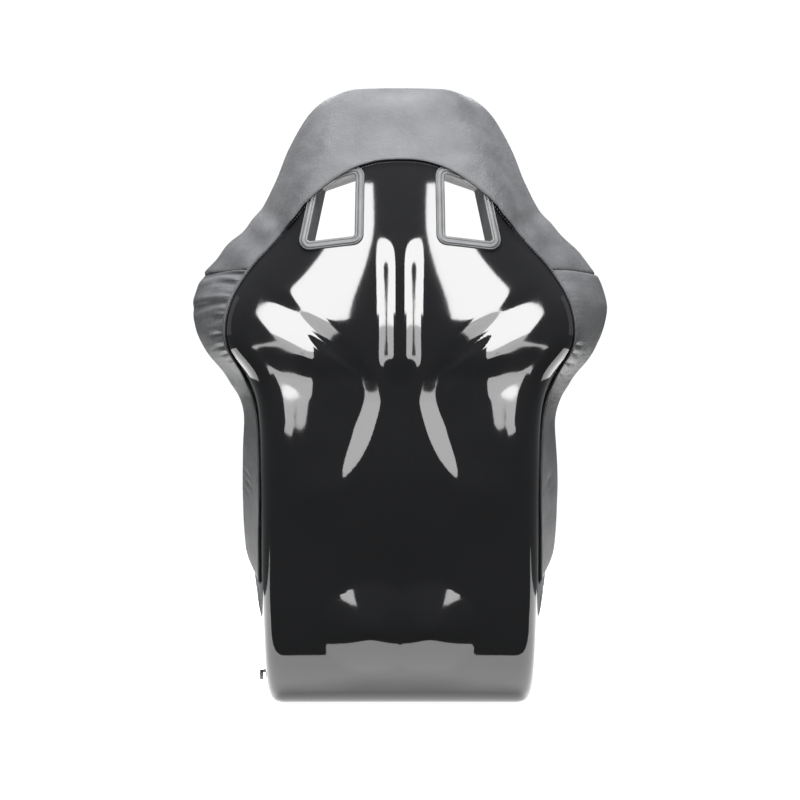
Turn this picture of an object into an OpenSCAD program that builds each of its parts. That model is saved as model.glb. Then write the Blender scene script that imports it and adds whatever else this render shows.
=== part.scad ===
// Fixed-back racing bucket seat: a fibreglass shell, foam pads and a pulled-over cover.
// X runs across the seat (+X is the occupant's left), the occupant faces -Y, and Z is up.
// The origin is on the middle plane, halfway between front and rear, at the underside.

/* [Overall size] */
// Overall height of the seat
seat_h = 890; // [840:5:940]
// Overall width across the padded shoulder wings
seat_w = 604; // [570:2:640]
// Overall length from the front lip to the rear of the backrest
seat_l = 560; // [540:2:580]

/* [Shell] */
// Thickness of the fibreglass wall
shell_t = 4; // [3:0.5:5]

/* [Padding] */
// Thickness of the foam on the inside of the side walls
wall_foam_t = 28; // [20:1:30]
// Thickness of the foam that laps round the outside of the rim
rim_foam_t = 9; // [6:0.5:11]
// Thickness of the foam on the inside of the backrest
back_foam_t = 30; // [20:1:36]
// Thickness of the foam behind the head and shoulders
head_foam_t = 24; // [18:1:28]
// Thickness of the seat cushion foam
cushion_foam_t = 48; // [35:1:60]
// Thickness of the cover material
cover_t = 1.6; // [1.2:0.1:2]
// Thickness of the elastic that is sewn into the hem
hem_r = 2.6; // [2:0.1:3.2]

/* [Harness openings] */
// Width of the frame round each shoulder opening
bezel_w = 12; // [10:0.5:14]
// Thickness of the frame's flange
bezel_t = 3; // [2:0.25:4]
// Width of the crotch strap slot
crotch_w = 70; // [55:1:85]
// Length of the crotch strap slot, front to rear
crotch_l = 24; // [18:1:30]

/* [Side mounts] */
// Distance between the front and rear mounting holes
mount_pitch = 290; // [280:5:300]
// Height of the mounting holes above the underside
mount_z = 45; // [42:1:50]
// Radius of the hole that takes the M8 thread
thread_r = 3.4; // [3.3:0.05:3.5]

/* [Hidden] */
$fn = 48;

// The stations below are drawn at these sizes and stretched to the sizes asked for.
base_h = 890;
base_w = 604;
base_l = 560;
stretch = [seat_w / base_w, seat_l / base_l, seat_h / base_h];

// Each station is one section through the shell's outer surface, from the front lip to the top:
// [spine y, spine z, rim y, rim z, half width of the face, half width of the rim, corner size,
//  how far the face falls away forward between its middle and its corners].
STATIONS = [
    [-280,   118,   -262, 176, 197, 205, 24,  0],  // 0 front lip
    [-254,    62,   -229, 214, 197, 208, 24,  0],  // 1
    [-194,    12,   -169, 224, 195, 210, 24,  0],  // 2 front mounts
    [-114,     0,   -104, 219, 194, 210, 24,  0],  // 3
    [ -34,     0,    -42, 200, 193, 209, 24,  0],  // 4
    [  46,     0,      2, 172, 193, 208, 24,  0],  // 5
    [ 118,     8,     26, 156, 193, 207, 26,  0],  // 6 low point of the side wall, for the lap belt
    [ 168,    52,     36, 164, 194, 209, 28,  2],  // 7
    [ 194,   130,     40, 200, 195, 214, 30,  4],  // 8
    [ 213,   220,     46, 258, 194, 220, 32,  6],  // 9
    [ 233,   320,     58, 338, 194, 222, 34,  8],  // 10 torso bolster
    [ 252,   420,     72, 430, 197, 219, 34, 10],  // 11 waist
    [ 263,   475,     82, 480, 208, 241, 34, 14],  // 12
    [ 272,   528,     94, 530, 243, 278, 34, 20],  // 13
    [ 278,   582,    110, 580, 240, 291, 36, 24],  // 14 widest point of the wings
    [ 280,   632,    130, 625, 207, 275, 36, 25],  // 15
    [ 278,   678,    147, 668, 174, 236, 30, 24],  // 16
    [ 273,   720,    160, 710, 156, 195, 26, 20],  // 17 neck
    [ 267,   762,    169, 754, 140, 170, 24, 15],  // 18
    [ 258,   808,    176, 802, 120, 150, 24, 10],  // 19
    [ 246,   850,    181, 844,  98, 126, 22,  7],  // 20
    [ 232,   876,    192, 868,  78, 104, 16,  4],  // 21
    [ 215, 887.7,    203, 882,  58,  74,  8,  2]   // 22 top of the head
];
TOP = len(STATIONS) - 1;

// Named places along the stations
T_THIGH_FRONT = 0.1;
T_THIGH_REAR = 4.8;
T_CUSHION_FRONT = 0.1;
T_CUSHION_REAR = 6.5;
T_TORSO_LOW = 8.3;
T_WAIST = 11;
T_SEAM = 15;
T_NECK = 17;
T_HEM_MIDDLE = 18.5;
T_ROUND_OFF = 20.2;

// Named places round a section: 0 is the middle plane and 1 is the rim
U_CORNER = 0.5;
U_WALL = 0.75;
U_THIGH_HEM = 0.85;
U_RIM_BAND = 0.94;
U_PAD = 0.49;

gap = 0.3;          // clearance between neighbouring pieces
over = 1;           // how far a cutting shape runs past a face
cut_reach = 30;     // how far one that goes right through the shell reaches on each side
mount_mid_y = -35;  // middle between the front and rear mounting holes

// ---------- curves ----------

function mix(a, b, f) = a + (b - a) * f;
function unit(v) = v / norm(v);
function smooth(f) = f * f * (3 - 2 * f);

// Catmull-Rom curve through b and c
function curve(a, b, c, d, f) =
    b + f * (c - a) / 2 + f * f * (2 * a - 5 * b + 4 * c - d) / 2
    + f * f * f * (3 * b - a - 3 * c + d) / 2;
function along(rows, t) =
    let (last = len(rows) - 1, i = min(max(floor(t), 0), last - 1))
    curve(rows[max(i - 1, 0)], rows[i], rows[i + 1], rows[min(i + 2, last)], t - i);

// One half of a section: a crowned face, a soft corner and a flared wall, as [across, forward]
function half_section(face, rim, depth, corner, fall, u) =
    let (start = [face - corner, fall],
         turn = start + corner * [1, 2 * fall / (face - corner)],
         end = turn + corner * unit([rim, depth] - turn),
         q = (u - U_CORNER) / (U_WALL - U_CORNER),
         f = u / U_CORNER)
    u < U_CORNER ? [start[0] * f, fall * f * f]
    : u < U_WALL ? mix(mix(start, turn, q), mix(turn, end, q), q)
    : mix(end, [rim, depth], (u - U_WALL) / (1 - U_WALL));

// A point on the shell's outer surface; u is negative on the occupant's right
function shell_point(t, u) =
    let (s = along(STATIONS, t),
         spine = [s[0], max(s[1], 0)],
         reach = [s[2], s[3]] - spine,
         p = half_section(s[4], s[5], norm(reach), s[6], s[7], abs(u)),
         yz = spine + unit(reach) * p[1])
    [sign(u) * p[0] * stretch[0], yz[0] * stretch[1], yz[1] * stretch[2]];

// Outward direction of the shell at a point, and the way its wall runs at the rim
step = 0.02;
function outward(t, u) =
    let (t0 = max(t - step, 0), t1 = min(t + step, TOP),
         u0 = max(u - step, -1), u1 = min(u + step, 1))
    unit(cross(shell_point(t1, u) - shell_point(t0, u), shell_point(t, u1) - shell_point(t, u0)));
function rimward(t, side) = unit(shell_point(t, side) - shell_point(t, side * (1 - step)));

// A point at a height h off the surface and b past the rim
function off_shell(t, u, h, b = 0) =
    shell_point(t, u) + h * outward(t, u) + (b == 0 ? [0, 0, 0] : b * rimward(t, sign(u)));

function span(a, b, n) = [for (i = [0:n]) mix(a, b, i / n)];
function sheet_grid(ts, us, h) = [for (t = ts) [for (u = us) off_shell(t, u, h)]];

// ---------- solids between two grids of points ----------

function flat(rows) = [for (row = rows) for (p = row) p];
function quad(a, b, c, d) = [[a, b, c], [a, c, d]];

// Closed solid between an outer and an inner grid with the same rows and columns
module between(outer, inner) {
    n = len(outer);
    m = len(outer[0]);
    k = n * m;
    faces = concat(
        [for (i = [0:n - 2]) for (j = [0:m - 2])
            for (f = quad(i * m + j, i * m + j + 1, (i + 1) * m + j + 1, (i + 1) * m + j)) f],
        [for (i = [0:n - 2]) for (j = [0:m - 2])
            for (f = quad(k + i * m + j, k + (i + 1) * m + j, k + (i + 1) * m + j + 1, k + i * m + j + 1)) f],
        [for (i = [0:n - 2])
            for (f = quad(i * m, (i + 1) * m, k + (i + 1) * m, k + i * m)) f],
        [for (i = [0:n - 2]) let (j = m - 1)
            for (f = quad(i * m + j, k + i * m + j, k + (i + 1) * m + j, (i + 1) * m + j)) f],
        [for (j = [0:m - 2])
            for (f = quad(j, k + j, k + j + 1, j + 1)) f],
        [for (j = [0:m - 2]) let (i = (n - 1) * m)
            for (f = quad(i + j, i + j + 1, k + i + j + 1, k + i + j)) f]
    );
    polyhedron(points = concat(flat(outer), flat(inner)), faces = faces);
}

// Slab that follows the shell from height h0 (nearer the inside) to height h1
module slab(ts, us, h0, h1) {
    between(sheet_grid(ts, us, h1), sheet_grid(ts, us, h0));
}

// Columns of a full section, with more of them where it bends
function half_columns(flat_n, corner_n, wall_n) = concat(
    [for (i = [0:flat_n - 1]) U_CORNER * i / flat_n],
    [for (i = [0:corner_n - 1]) mix(U_CORNER, U_WALL, i / corner_n)],
    span(U_WALL, 1, wall_n)
);
function both_sides(columns) = concat(
    [for (i = [len(columns) - 1:-1:1]) -columns[i]], columns);

// Path of a piece that laps over the rim, from its outer hem to its inner edge, as [u, h, b]
function lap_path(u_hem, u_in, h_hem, h_out, h_in, past, n_out, n_in) =
    let (mid = (h_out - h_in) / 2, half = (h_out + h_in) / 2)
    concat(
        [for (i = [0:n_out - 1])
            [mix(u_hem, 1, i / n_out), mix(h_hem, h_out, sin(90 * i / n_out)), 0]],
        [for (a = [0:30:180]) [1, mid + half * cos(a), past * sin(a)]],
        [for (i = [1:n_in]) [mix(1, u_in, i / n_in), -h_in, 0]]
    );
function lap_row(t, path) = [for (p = path) off_shell(t, p[0], p[1], p[2])];

// ---------- shell and its openings ----------

module shell_body() {
    slab(span(0, TOP, 3 * TOP), both_sides(half_columns(4, 4, 4)), -shell_t, 0);
}

// Middle of the left shoulder opening on the shell, and the way the shell faces there
opening_at = [16.95, 0.36];
opening_middle = shell_point(opening_at[0], opening_at[1]);
opening_faces = outward(opening_at[0], opening_at[1]);

// Outline of one shoulder opening round its middle, as [across, up]
slot_outline = [[-35, -43], [-34, 53], [24, 34], [40, -51]];
slot_corner = 6;
module slot_shape(grow) {
    offset(r = slot_corner + grow, $fn = 24) offset(delta = -slot_corner)
        polygon([for (p = slot_outline) [p[0] * stretch[0], p[1] * stretch[2]]]);
}

// Prism of the shoulder opening's shape, square to the shell, between two heights off the shell
module slot_prism(grow, h0, h1) {
    tilt = [asin(opening_faces[2]), 0, -atan2(opening_faces[0], opening_faces[1])];
    translate(opening_middle) rotate(tilt)
        translate([0, h1, 0]) rotate([90, 0, 0]) linear_extrude(h1 - h0) slot_shape(grow);
}

module mirrored(side) {
    mirror([side < 0 ? 1 : 0, 0, 0]) children();
}

// Rounded slot that runs front to rear through the seat base, as a plan shape
crotch_y = -55;
module crotch_shape(grow) {
    r = crotch_l / 2 + grow;
    offset_x = (crotch_w - crotch_l) / 2;
    for (side = [-1, 1]) translate([side * offset_x, 0]) circle(r);
    square([2 * offset_x, 2 * r], center = true);
}
module crotch_prism(grow, z0, z1) {
    translate([0, crotch_y, z0]) linear_extrude(z1 - z0) crotch_shape(grow);
}

// The mounting holes, and where the inserts end just proud of the side wall
mount_front_y = mount_mid_y - mount_pitch / 2;
mount_rear_y = mount_mid_y + mount_pitch / 2;
mount_face_x = 198 * stretch[0];
barrel_r = 9;

// Cylinder along X at a mounting hole on the left, between two places across
module mount_cylinder(y, r, x0, x1) {
    translate([x0, y, mount_z]) rotate([0, 90, 0]) cylinder(h = x1 - x0, r = r);
}

module barrel_holes() {
    for (y = [mount_front_y, mount_rear_y])
        mount_cylinder(y, barrel_r + gap / 2, mount_face_x - cut_reach, mount_face_x + cut_reach);
}

module frp_shell() color([0.02, 0.02, 0.025]) {
    difference() {
        shell_body();
        for (side = [-1, 1]) {
            mirrored(side) slot_prism(0, -cut_reach, cut_reach);
            mirrored(side) barrel_holes();
        }
        crotch_prism(0, -cut_reach, cut_reach);
    }
}

// ---------- side mounts ----------

plate_t = 3;
plate_rows = span(1.9, 6.2, 12);
plate_columns = span(0.765, 0.83, 2);
flange_r = 15;
flange_t = 2.5;
barrel_length = 14.6;
flange_x = mount_face_x - barrel_length;

// Steel plate that is bonded inside the side wall and joins its two inserts
module mount_plate(side) color([0.45, 0.46, 0.48]) {
    mirrored(side) difference() {
        slab(plate_rows, plate_columns, -shell_t - gap - plate_t, -shell_t - gap);
        barrel_holes();
    }
}

// Flanged steel insert with an M8 thread through it
module mount_insert(side, y) color([0.62, 0.62, 0.64]) {
    mirrored(side) difference() {
        union() {
            mount_cylinder(y, barrel_r, flange_x - over, mount_face_x);
            mount_cylinder(y, flange_r, flange_x - flange_t, flange_x);
        }
        mount_cylinder(y, thread_r, flange_x - flange_t - over, mount_face_x + over);
    }
}

washer_t = 1.6;
washer_r = 8;
washer_hole_r = 4.2;
head_h = 5.3;
head_across_flats = 13;
bolt_length = 14;     // of the shank, under the washer
shank_r = thread_r - 0.05;

// M8 bolt in the left rear insert
module mount_bolt_rear_left() color([0.12, 0.12, 0.13]) {
    head_r = head_across_flats / 2 / cos(30);
    union() {
        mount_cylinder(mount_rear_y, shank_r, mount_face_x - bolt_length, mount_face_x + washer_t + over);
        translate([mount_face_x + washer_t, mount_rear_y, mount_z])
            rotate([0, 90, 0]) cylinder(h = head_h, r = head_r, $fn = 6);
    }
}

module mount_washer_rear_left() color([0.5, 0.5, 0.52]) {
    difference() {
        mount_cylinder(mount_rear_y, washer_r, mount_face_x, mount_face_x + washer_t);
        mount_cylinder(mount_rear_y, washer_hole_r, mount_face_x - over, mount_face_x + washer_t + over);
    }
}

// ---------- frames of the openings ----------

bezel_depth = 40;     // how far the rear frame's sleeve runs forward
sleeve_t = 2.4;
clip_length = 8;      // how far the front frame reaches back round the sleeve
front_clear = 3;      // room for the crown of the padding under the front frame
crotch_flange_w = 8;
crotch_flange_t = 2;
opening_rows = span(15.2, 18.8, 8);
opening_columns = span(0.06, 0.64, 8);

// Layer that follows the shell round an opening, between two heights off it
module opening_layer(h0, h1) {
    slab(opening_rows, opening_columns, h0, h1);
}

// Rear frame: a flange that follows the shell and a sleeve that runs forward through the padding
module shoulder_bezel_rear(side) color([0.42, 0.43, 0.44]) {
    mirrored(side) difference() {
        union() {
            slot_prism(-gap, -bezel_depth, -shell_t / 2);
            intersection() {
                opening_layer(-shell_t, gap + bezel_t / 2);
                slot_prism(-gap, -cut_reach, cut_reach);
            }
            intersection() {
                opening_layer(gap, gap + bezel_t);
                slot_prism(bezel_w - sleeve_t - gap, -cut_reach, cut_reach);
            }
        }
        slot_prism(-gap - sleeve_t, -bezel_depth - over, cut_reach);
    }
}

// Front frame: clips round the sleeve and holds the cover's edge
module shoulder_bezel_front(side) color([0.1, 0.1, 0.1]) {
    front_h = -shell_t - head_foam_t - cover_t - 3 * gap - front_clear;
    mirrored(side) difference() {
        union() {
            slot_prism(bezel_w - sleeve_t, front_h - bezel_t, front_h);
            slot_prism(sleeve_t, front_h - over, front_h + clip_length);
        }
        slot_prism(0, front_h - bezel_t - over, front_h + clip_length + over);
    }
}

// Frame round the crotch strap slot, under the seat base
module crotch_slot_bezel() color([0.1, 0.1, 0.1]) {
    difference() {
        union() {
            crotch_prism(crotch_flange_w, shell_t + gap, shell_t + gap + crotch_flange_t);
            crotch_prism(-gap, over, shell_t + gap + over);
        }
        crotch_prism(-gap - crotch_flange_t, 0, shell_t + gap + crotch_flange_t + over);
    }
}

// ---------- padding ----------

FOAM = [0.86, 0.74, 0.42];
COVER = [0.13, 0.13, 0.14];
bed_h = -shell_t - gap;

// How far a pad has risen at a fraction f of its length: quickly at the ends, then full
function pad_rise(f) = sin(90 * min(1, 0.15 + 9 * min(f, 1 - f)));

// Height of a pad's face in each row
function pad_heights(rows, bed, thick, extra) =
    [for (i = [0:rows]) bed - extra - thick * pad_rise(i / rows)];

module pad_foam(ts, u_edge, bed, thick) {
    us = span(u_edge, -u_edge, 8);
    hs = pad_heights(len(ts) - 1, bed, thick, 0);
    between(
        [for (i = [0:len(ts) - 1]) [for (u = us) off_shell(ts[i], u, hs[i])]],
        [for (t = ts) [for (u = us) off_shell(t, u, bed)]]
    );
}

// Cover over a pad's face and down its two sides
module pad_cover(ts, u_edge, bed, thick) {
    rows = len(ts) - 1;
    inner = pad_heights(rows, bed, thick, gap);
    outer = pad_heights(rows, bed, thick, gap + cover_t);
    u_in = u_edge + 0.004;
    u_out = u_edge + 0.012;
    between(
        [for (i = [0:rows]) pad_cover_row(ts[i], u_out, bed, outer[i])],
        [for (i = [0:rows]) pad_cover_row(ts[i], u_in, bed, inner[i])]
    );
}
function pad_cover_row(t, u_edge, bed, h) = concat(
    [off_shell(t, u_edge, bed)],
    [for (u = span(u_edge, -u_edge, 8)) off_shell(t, u, h)],
    [off_shell(t, -u_edge, bed)]
);

back_rows = span(7.2, T_SEAM - 0.1, 16);
module backrest_foam() color(FOAM) pad_foam(back_rows, U_PAD, bed_h, back_foam_t);
module backrest_cover() color(COVER) pad_cover(back_rows, U_PAD, bed_h, back_foam_t);

// ---------- pads and covers that lap over the rim ----------

U_LAP_IN = 0.7;       // where the backrest's side padding ends, in the corner
lap_past = 12;        // how far the padding stands past the rim
hem_foam_t = 0.6;     // what is left of the foam at the hem

// Where the cover's hem lies on the outside of the shell, from the torso up to the neck
HEM_START = 8;        // the station that the first of these belongs to
HEM_U = [0.81, 0.79, 0.76, 0.79, 0.81, 0.70, 0.665, 0.68, 0.635, 0.535];
function hem_u(t) = along(HEM_U, t - HEM_START);

// Over the head the hem arches across the middle
hem_arch = 2.8;
u_neck = HEM_U[len(HEM_U) - 1];
function hem_t(u) = T_HEM_MIDDLE - (T_HEM_MIDDLE - T_NECK) * pow(abs(u) / u_neck, hem_arch);
function hem_u_over_neck(t) =
    t >= T_HEM_MIDDLE ? 0
    : t > T_NECK ? u_neck * pow((T_HEM_MIDDLE - t) / (T_HEM_MIDDLE - T_NECK), 1 / hem_arch)
    : hem_u(t);

// Path of the shell's own wall: outside, rim edge, inside
function wall_path(u_hem, u_in, n_out, n_in) =
    lap_path(u_hem, u_in, gap, gap, shell_t + gap, gap, n_out, n_in);
// Path of the padding's face over the same wall, at a height past the foam
function foam_path(u_hem, u_in, inside_t, extra, n_out, n_in, f = 1) =
    lap_path(u_hem, u_in, gap + extra + hem_foam_t, gap + extra + rim_foam_t * f,
             shell_t + gap + extra + inside_t * f, gap + extra + lap_past * f, n_out, n_in);

// Where the padding of a side wall ends at a station, as [outer hem, inner edge]
function thigh_ends(t) = [U_THIGH_HEM, U_WALL];
function backrest_ends(t) = [hem_u(t), U_LAP_IN];
function wall_ends(t) = t < T_CUSHION_REAR ? thigh_ends(t) : backrest_ends(t);

// Path of a side wall's padding at a station, at a height past the foam's face
function padded_wall(t, extra) =
    let (ends = wall_ends(t))
    foam_path(ends[0], ends[1], wall_foam_t, extra, 3, 3);

module wall_foam(ts) {
    between(
        [for (t = ts) lap_row(t, padded_wall(t, 0))],
        [for (t = ts) let (ends = wall_ends(t)) lap_row(t, wall_path(ends[0], ends[1], 3, 3))]
    );
}
module wall_cover(ts) {
    between(
        [for (t = ts) lap_row(t, padded_wall(t, gap + cover_t))],
        [for (t = ts) lap_row(t, padded_wall(t, gap))]
    );
}
module backrest_side_foam(ts, side) color(FOAM) mirrored(side) wall_foam(ts);
module wing_cover(side) color(COVER) mirrored(side) wall_cover(wing_cover_rows);
module thigh_bolster_cover(side) color(COVER) mirrored(side) wall_cover(thigh_rows);

// Path of the thigh bolster's bed, which leaves room low down for the plate and the insert flanges
U_ROOM = [mix(U_WALL, 1, 2 / 3), mix(U_WALL, 1, 1 / 3), U_WALL];
mount_room = 18;
function thigh_bed() = concat(
    lap_path(U_THIGH_HEM, U_ROOM[0], gap, gap, shell_t + gap, gap, 3, 1),
    [for (i = [1:2]) [U_ROOM[i], -mount_room, 0]]
);
module thigh_bolster_foam(side) color(FOAM) {
    mirrored(side) between(
        [for (t = thigh_rows) lap_row(t, padded_wall(t, 0))],
        [for (t = thigh_rows) lap_row(t, thigh_bed())]
    );
}

seam_gap = 0.02;      // sewn pieces stop this much of a station short of each other
thigh_rows = span(T_THIGH_FRONT, T_THIGH_REAR, 12);
torso_rows = span(T_TORSO_LOW, T_WAIST - seam_gap, 8);
wing_rows = span(T_WAIST, T_SEAM - seam_gap, 12);
wing_cover_rows = span(T_TORSO_LOW, T_SEAM - seam_gap, 20);

// ---------- head ----------

// The padding thins to an edge at the top of the head
function fade(t) =
    sqrt(max(0.02, 1 - pow(max(0, (t - T_ROUND_OFF) / (TOP - T_ROUND_OFF)), 2)));
head_rows = span(T_SEAM, TOP, 14);

function over_both(half) = concat(
    half, [for (i = [len(half) - 2:-1:0]) [-half[i][0], half[i][1], half[i][2]]]);
function head_face(t, extra) =
    over_both(foam_path(U_RIM_BAND, 0, head_foam_t, extra, 2, 8, fade(t)));

// Room for the shoulder frames through the padding
module slot_holes() {
    for (side = [-1, 1]) mirrored(side) slot_prism(sleeve_t + gap, -3 * cut_reach, -shell_t / 2);
}

module headrest_foam() color(FOAM) {
    difference() {
        between(
            [for (t = head_rows) lap_row(t, head_face(t, 0))],
            [for (t = head_rows) lap_row(t, over_both(wall_path(U_RIM_BAND, 0, 2, 8)))]
        );
        slot_holes();
    }
}

module head_cover_front() color(COVER) {
    difference() {
        between(
            [for (t = head_rows) lap_row(t, head_face(t, gap + cover_t))],
            [for (t = head_rows) lap_row(t, head_face(t, gap))]
        );
        slot_holes();
    }
}

// The cover lies over the outer corner of the shoulder frames: how far it is lifted at a point
lift_reach = 82;
lift_fade = 22;
function lift(t, u) =
    let (away = norm(shell_point(t, abs(u)) - opening_middle))
    (bezel_t + gap) * smooth(min(1, max(0, (lift_reach - away) / lift_fade)));

// Smooth rear panel, from the rim band in to the hem
module head_cover_rear() color(COVER) {
    low_rows = span(T_SEAM, T_NECK - 0.2, 5);
    arch_rows = [for (i = [0:6])
        T_HEM_MIDDLE - (T_HEM_MIDDLE - T_NECK) * pow(1 - i / 6, 2)];
    rows = concat(low_rows, arch_rows, span(T_HEM_MIDDLE + 0.5, TOP, 6));
    panel_h = gap + hem_foam_t;
    for (side = [-1, 1]) mirrored(side) between(
        [for (t = rows)
            [for (u = span(hem_u_over_neck(t), U_RIM_BAND - 0.01, 8))
                off_shell(t, u, panel_h + lift(t, u) + cover_t)]],
        [for (t = rows)
            [for (u = span(hem_u_over_neck(t), U_RIM_BAND - 0.01, 8))
                off_shell(t, u, panel_h + lift(t, u))]]
    );
}

// ---------- hem ----------

// Elastic binding along the whole edge of the cover, from the left torso over the head to the right
hem_sides = 8;
module cover_hem() color([0.2, 0.2, 0.21]) {
    up = [for (t = span(T_TORSO_LOW, T_NECK - 0.3, 28)) [t, hem_u(t)]];
    over = [for (u = span(u_neck, 0, 9)) [hem_t(u), u]];
    half = concat(up, over);
    route = concat(half, [for (i = [len(half) - 2:-1:0]) [half[i][0], -half[i][1]]]);
    edge = [for (q = route) off_shell(q[0], q[1], gap + hem_r + lift(q[0], q[1]))];
    outs = [for (q = route) outward(q[0], q[1])];
    last = len(route) - 1;
    beside = [for (i = [0:last])
        edge[i] - (hem_r + gap) * unit(cross(edge[min(i + 1, last)] - edge[max(i - 1, 0)], outs[i]))];
    tube(beside, outs, hem_r, hem_sides);
}

// Round tube through a list of points; outs gives a sideways direction at each
module tube(points, outs, r, sides) {
    last = len(points) - 1;
    rings = [for (i = [0:last])
        let (run = unit(points[min(i + 1, last)] - points[max(i - 1, 0)]),
             across = unit(cross(run, outs[i])),
             up = cross(across, run))
        for (k = [0:sides - 1])
            points[i] + r * (cos(360 * k / sides) * across + sin(360 * k / sides) * up)];
    walls = [for (i = [0:last - 1]) for (k = [0:sides - 1])
        let (a = i * sides + k, b = i * sides + (k + 1) % sides)
        for (f = quad(a, b, b + sides, a + sides)) f];
    caps = concat(
        [for (k = [1:sides - 2]) [0, k + 1, k]],
        [for (k = [1:sides - 2]) [last * sides, last * sides + k, last * sides + k + 1]]
    );
    polyhedron(points = rings, faces = concat(walls, caps));
}

// ---------- seat cushion ----------

strip_t = 2;
strip_rows = span(1.6, 5.4, 8);
strip_columns = [0.3, 0.36];
strap_room = 2;       // how much wider the strap's hole is in the foam than in the shell
cushion_bed = bed_h - strip_t - gap;
cushion_rows = span(T_CUSHION_FRONT, T_CUSHION_REAR, 16);

module seat_cushion_foam() color(FOAM) {
    difference() {
        pad_foam(cushion_rows, U_PAD, cushion_bed, cushion_foam_t);
        crotch_prism(strap_room, -cut_reach, 4 * cut_reach);
    }
}
module seat_cushion_cover() color(COVER) {
    difference() {
        pad_cover(cushion_rows, U_PAD, cushion_bed, cushion_foam_t);
        crotch_prism(strap_room / 2, -cut_reach, 4 * cut_reach);
    }
}

// Two pairs of hook-and-loop strips that hold the cushion down on the shell
module cushion_hook_and_loop() color([0.06, 0.06, 0.06]) {
    for (side = [-1, 1]) mirrored(side)
        slab(strip_rows, strip_columns, bed_h - strip_t, bed_h);
}

frp_shell();
mount_plate(1);  // mount_plate_left
mount_plate(-1);  // mount_plate_right
mount_insert(1, mount_front_y);  // mount_insert_front_left
mount_insert(1, mount_rear_y);  // mount_insert_rear_left
mount_insert(-1, mount_front_y);  // mount_insert_front_right
mount_insert(-1, mount_rear_y);  // mount_insert_rear_right
mount_bolt_rear_left();
mount_washer_rear_left();
shoulder_bezel_rear(1);  // shoulder_bezel_rear_left
shoulder_bezel_rear(-1);  // shoulder_bezel_rear_right
shoulder_bezel_front(1);  // shoulder_bezel_front_left
shoulder_bezel_front(-1);  // shoulder_bezel_front_right
crotch_slot_bezel();
backrest_foam();
headrest_foam();
backrest_side_foam(wing_rows, 1);  // shoulder_wing_foam_left
backrest_side_foam(wing_rows, -1);  // shoulder_wing_foam_right
backrest_side_foam(torso_rows, 1);  // torso_bolster_foam_left
backrest_side_foam(torso_rows, -1);  // torso_bolster_foam_right
backrest_cover();
head_cover_front();
head_cover_rear();
wing_cover(1);  // wing_cover_left
wing_cover(-1);  // wing_cover_right
cover_hem();
seat_cushion_foam();
seat_cushion_cover();
cushion_hook_and_loop();
thigh_bolster_foam(1);  // thigh_bolster_foam_left
thigh_bolster_foam(-1);  // thigh_bolster_foam_right
thigh_bolster_cover(1);  // thigh_bolster_cover_left
thigh_bolster_cover(-1);  // thigh_bolster_cover_right
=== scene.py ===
"""Fixed-back racing bucket seat, seen from behind: gloss shell, pulled-over cover and padding."""
import math

import bmesh
import bpy
import numpy as np
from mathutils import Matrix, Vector
from mathutils.bvhtree import BVHTree
from mathutils.kdtree import KDTree


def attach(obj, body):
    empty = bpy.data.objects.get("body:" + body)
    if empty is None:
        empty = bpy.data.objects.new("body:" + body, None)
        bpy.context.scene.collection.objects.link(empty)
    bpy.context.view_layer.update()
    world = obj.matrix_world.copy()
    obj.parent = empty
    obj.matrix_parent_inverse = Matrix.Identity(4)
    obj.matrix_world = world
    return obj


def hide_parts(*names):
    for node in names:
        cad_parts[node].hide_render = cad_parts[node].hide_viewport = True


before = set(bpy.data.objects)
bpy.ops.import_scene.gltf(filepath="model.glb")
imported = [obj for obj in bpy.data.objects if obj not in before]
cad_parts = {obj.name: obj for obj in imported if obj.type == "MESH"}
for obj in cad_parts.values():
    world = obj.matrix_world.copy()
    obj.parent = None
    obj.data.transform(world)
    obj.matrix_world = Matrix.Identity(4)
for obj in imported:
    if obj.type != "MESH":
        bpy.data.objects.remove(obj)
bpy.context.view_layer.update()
MM = 0.001

# ---------------- sizes, in millimetres

# One section through the shell per row: spine y and z, rim y and z, half width of the face,
# half width of the rim, corner size, how far the face falls forward at its corners.
STATIONS = np.array([
    [-280, 118, -262, 176, 197, 205, 24, 0],
    [-254, 62, -229, 214, 197, 208, 24, 0],
    [-194, 12, -169, 224, 195, 210, 24, 0],
    [-114, 0, -104, 219, 194, 210, 24, 0],
    [-34, 0, -42, 200, 193, 209, 24, 0],
    [46, 0, 2, 172, 193, 208, 24, 0],
    [118, 8, 26, 156, 193, 207, 26, 0],
    [168, 52, 36, 164, 194, 209, 28, 2],
    [194, 130, 40, 200, 195, 214, 30, 4],
    [213, 220, 46, 258, 194, 220, 32, 6],
    [233, 320, 58, 338, 194, 222, 34, 8],
    [252, 420, 72, 430, 197, 219, 34, 10],
    [263, 475, 82, 480, 208, 241, 34, 14],
    [272, 528, 94, 530, 243, 278, 34, 20],
    [278, 582, 110, 580, 240, 291, 36, 24],
    [280, 632, 130, 625, 207, 275, 36, 25],
    [278, 678, 147, 668, 174, 236, 30, 24],
    [273, 720, 160, 710, 156, 195, 26, 20],
    [267, 762, 169, 754, 140, 170, 24, 15],
    [258, 808, 176, 802, 120, 150, 24, 10],
    [246, 850, 181, 844, 98, 126, 22, 7],
    [232, 876, 192, 868, 78, 104, 16, 4],
    [215, 887.7, 203, 882, 58, 74, 8, 2],
], dtype=float)
TOP = len(STATIONS) - 1
U_CORNER, U_WALL = 0.5, 0.75
SHELL_T = 4
GAP = 0.3
SIDES = ((1, "left"), (-1, "right"))

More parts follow.
